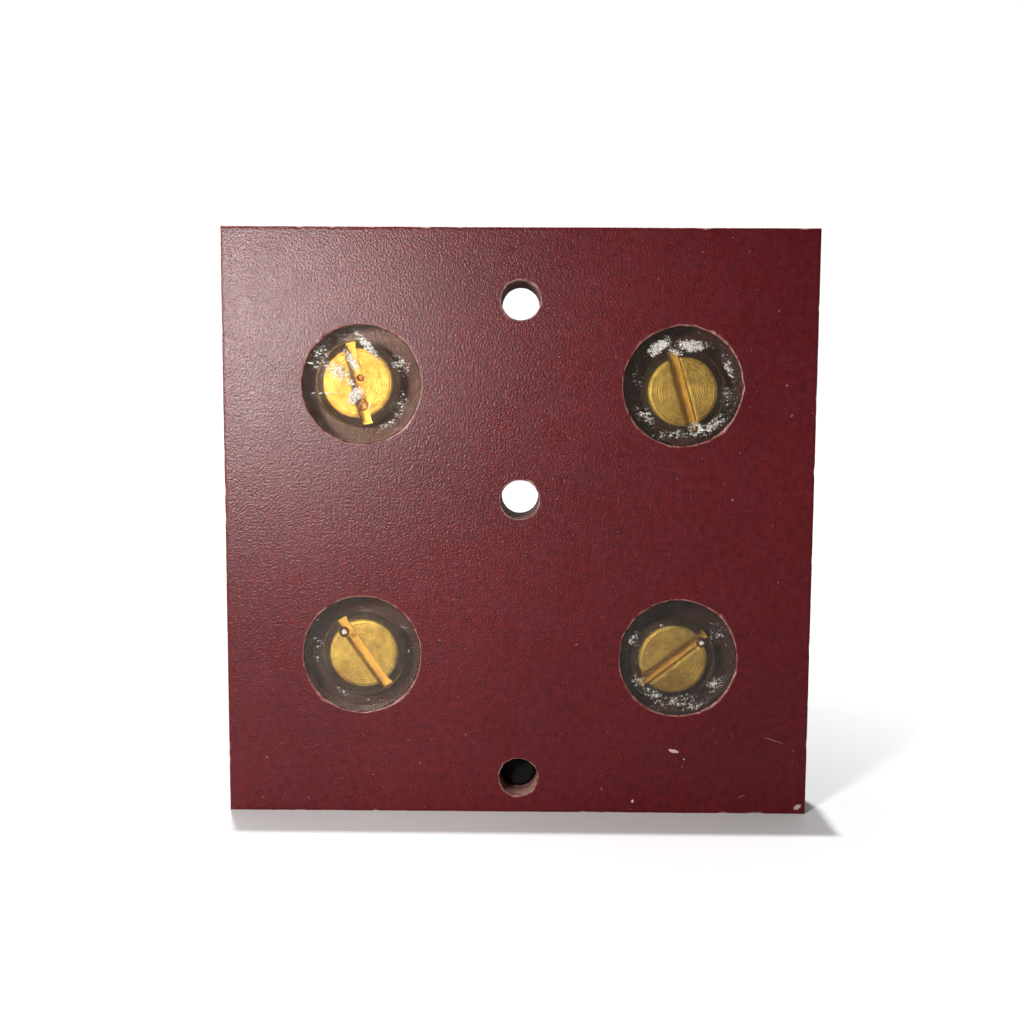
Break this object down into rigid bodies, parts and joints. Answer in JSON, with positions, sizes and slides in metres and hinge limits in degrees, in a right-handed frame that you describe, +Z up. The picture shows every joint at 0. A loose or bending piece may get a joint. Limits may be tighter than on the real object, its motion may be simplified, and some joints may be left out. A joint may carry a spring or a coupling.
{
  "type": "fuse panel",
  "caption": "Square laminate board with potted studs set in from the back; spring clips on the front hold cartridge fuses, with screw terminals beside them.",
  "frame": {"origin": "middle of the board's flat back face", "axes": "+Y out of the front, where the fuses are; +Z up; +X to the right as seen from the back"},
  "size_m": [0.127, 0.0541, 0.127],
  "materials": {
    "laminate": "oxblood insulating laminate, semi-gloss, worn",
    "potting_resin": "clear amber casting resin with bubbles, nearly flush",
    "stud_brass": "turned brass, warm yellow",
    "bar_brass": "flat brass bar, dull",
    "clip_spring": "spring bronze strip, dull",
    "plated_steel": "zinc-plated steel",
    "cap_brass": "drawn brass cap",
    "tube_fibre": "grey-green vulcanised fibre",
    "link_zinc": "zinc strip",
    "filler_sand": "pressed sand",
    "black_moulding": "black moulded phenolic"
  },
  "bodies": {
    "panel": {"base_board": "laminate", "stud_upper_left": "stud_brass", "potting_plug_upper_left": "potting_resin", "terminal_bar_upper_left": "bar_brass", "fuse_clip_upper_left": "clip_spring", "flat_washer_upper_left": "plated_steel", "lock_washer_upper_left": "plated_steel", "stud_nut_upper_left": "stud_brass", "stud_upper_right": "stud_brass", "potting_plug_upper_right": "potting_resin", "terminal_bar_upper_right": "bar_brass", "fuse_clip_upper_right": "clip_spring", "flat_washer_upper_right": "plated_steel", "lock_washer_upper_right": "plated_steel", "stud_nut_upper_right": "stud_brass", "stud_lower_left": "stud_brass", "potting_plug_lower_left": "potting_resin", "terminal_bar_lower_left": "bar_brass", "fuse_clip_lower_left": "clip_spring", "flat_washer_lower_left": "plated_steel", "lock_washer_lower_left": "plated_steel", "stud_nut_lower_left": "stud_brass", "stud_lower_right": "stud_brass", "potting_plug_lower_right": "potting_resin", "terminal_bar_lower_right": "bar_brass", "fuse_clip_lower_right": "clip_spring", "flat_washer_lower_right": "plated_steel", "lock_washer_lower_right": "plated_steel", "stud_nut_lower_right": "stud_brass", "cover_post": "black_moulding", "cover_post_insert": "stud_brass"},
    "fuse_left": {"fuse_tube_left": "tube_fibre", "fuse_cap_lower_left": "cap_brass", "fuse_cap_upper_left": "cap_brass", "fuse_link_left": "link_zinc", "fuse_filler_left": "filler_sand"},
    "fuse_right": {"fuse_tube_right": "tube_fibre", "fuse_cap_lower_right": "cap_brass", "fuse_cap_upper_right": "cap_brass", "fuse_link_right": "link_zinc", "fuse_filler_right": "filler_sand"},
    "clamp_upper_left": {"clamp_washer_upper_left": "plated_steel"},
    "screw_upper_left": {"binding_screw_upper_left": "bar_brass"},
    "clamp_upper_right": {"clamp_washer_upper_right": "plated_steel"},
    "screw_upper_right": {"binding_screw_upper_right": "bar_brass"},
    "clamp_lower_left": {"clamp_washer_lower_left": "plated_steel"},
    "screw_lower_left": {"binding_screw_lower_left": "bar_brass"},
    "clamp_lower_right": {"clamp_washer_lower_right": "plated_steel"},
    "screw_lower_right": {"binding_screw_lower_right": "bar_brass"}
  },
  "joints": [
    {"name": "fuse_left_pull", "type": "slide", "parent": "panel", "child": "fuse_left", "axis": [0, 1, 0], "range_m": [0, 0.04]},
    {"name": "fuse_right_pull", "type": "slide", "parent": "panel", "child": "fuse_right", "axis": [0, 1, 0], "range_m": [0, 0.04]},
    {"name": "clamp_upper_left_travel", "type": "slide", "parent": "panel", "child": "clamp_upper_left", "axis": [0, 1, 0], "range_m": [0, 0.00238]},
    {"name": "screw_upper_left_turn", "type": "hinge", "parent": "clamp_upper_left", "child": "screw_upper_left", "pos_m": [-0.0343, 0.0205, 0.0506], "axis": [0, 1, 0], "range_deg": [0, 1080]},
    {"name": "clamp_upper_right_travel", "type": "slide", "parent": "panel", "child": "clamp_upper_right", "axis": [0, 1, 0], "range_m": [0, 0.00238]},
    {"name": "screw_upper_right_turn", "type": "hinge", "parent": "clamp_upper_right", "child": "screw_upper_right", "pos_m": [0.03455, 0.0205, 0.0491], "axis": [0, 1, 0], "range_deg": [0, 1080]},
    {"name": "clamp_lower_left_travel", "type": "slide", "parent": "panel", "child": "clamp_lower_left", "axis": [0, 1, 0], "range_m": [0, 0.00238]},
    {"name": "screw_lower_left_turn", "type": "hinge", "parent": "clamp_lower_left", "child": "screw_lower_left", "pos_m": [-0.0343, 0.0205, -0.0484], "axis": [0, 1, 0], "range_deg": [0, 1080]},
    {"name": "clamp_lower_right_travel", "type": "slide", "parent": "panel", "child": "clamp_lower_right", "axis": [0, 1, 0], "range_m": [0, 0.00238]},
    {"name": "screw_lower_right_turn", "type": "hinge", "parent": "clamp_lower_right", "child": "screw_lower_right", "pos_m": [0.03455, 0.0205, -0.0493], "axis": [0, 1, 0], "range_deg": [0, 1080]}
  ],
  "couplings": [
    {"joint": "screw_upper_left_turn", "follows": "clamp_upper_left_travel", "rad_per_m": 7915.8},
    {"joint": "screw_upper_right_turn", "follows": "clamp_upper_right_travel", "rad_per_m": 7915.8},
    {"joint": "screw_lower_left_turn", "follows": "clamp_lower_left_travel", "rad_per_m": 7915.8},
    {"joint": "screw_lower_right_turn", "follows": "clamp_lower_right_travel", "rad_per_m": 7915.8}
  ]
}
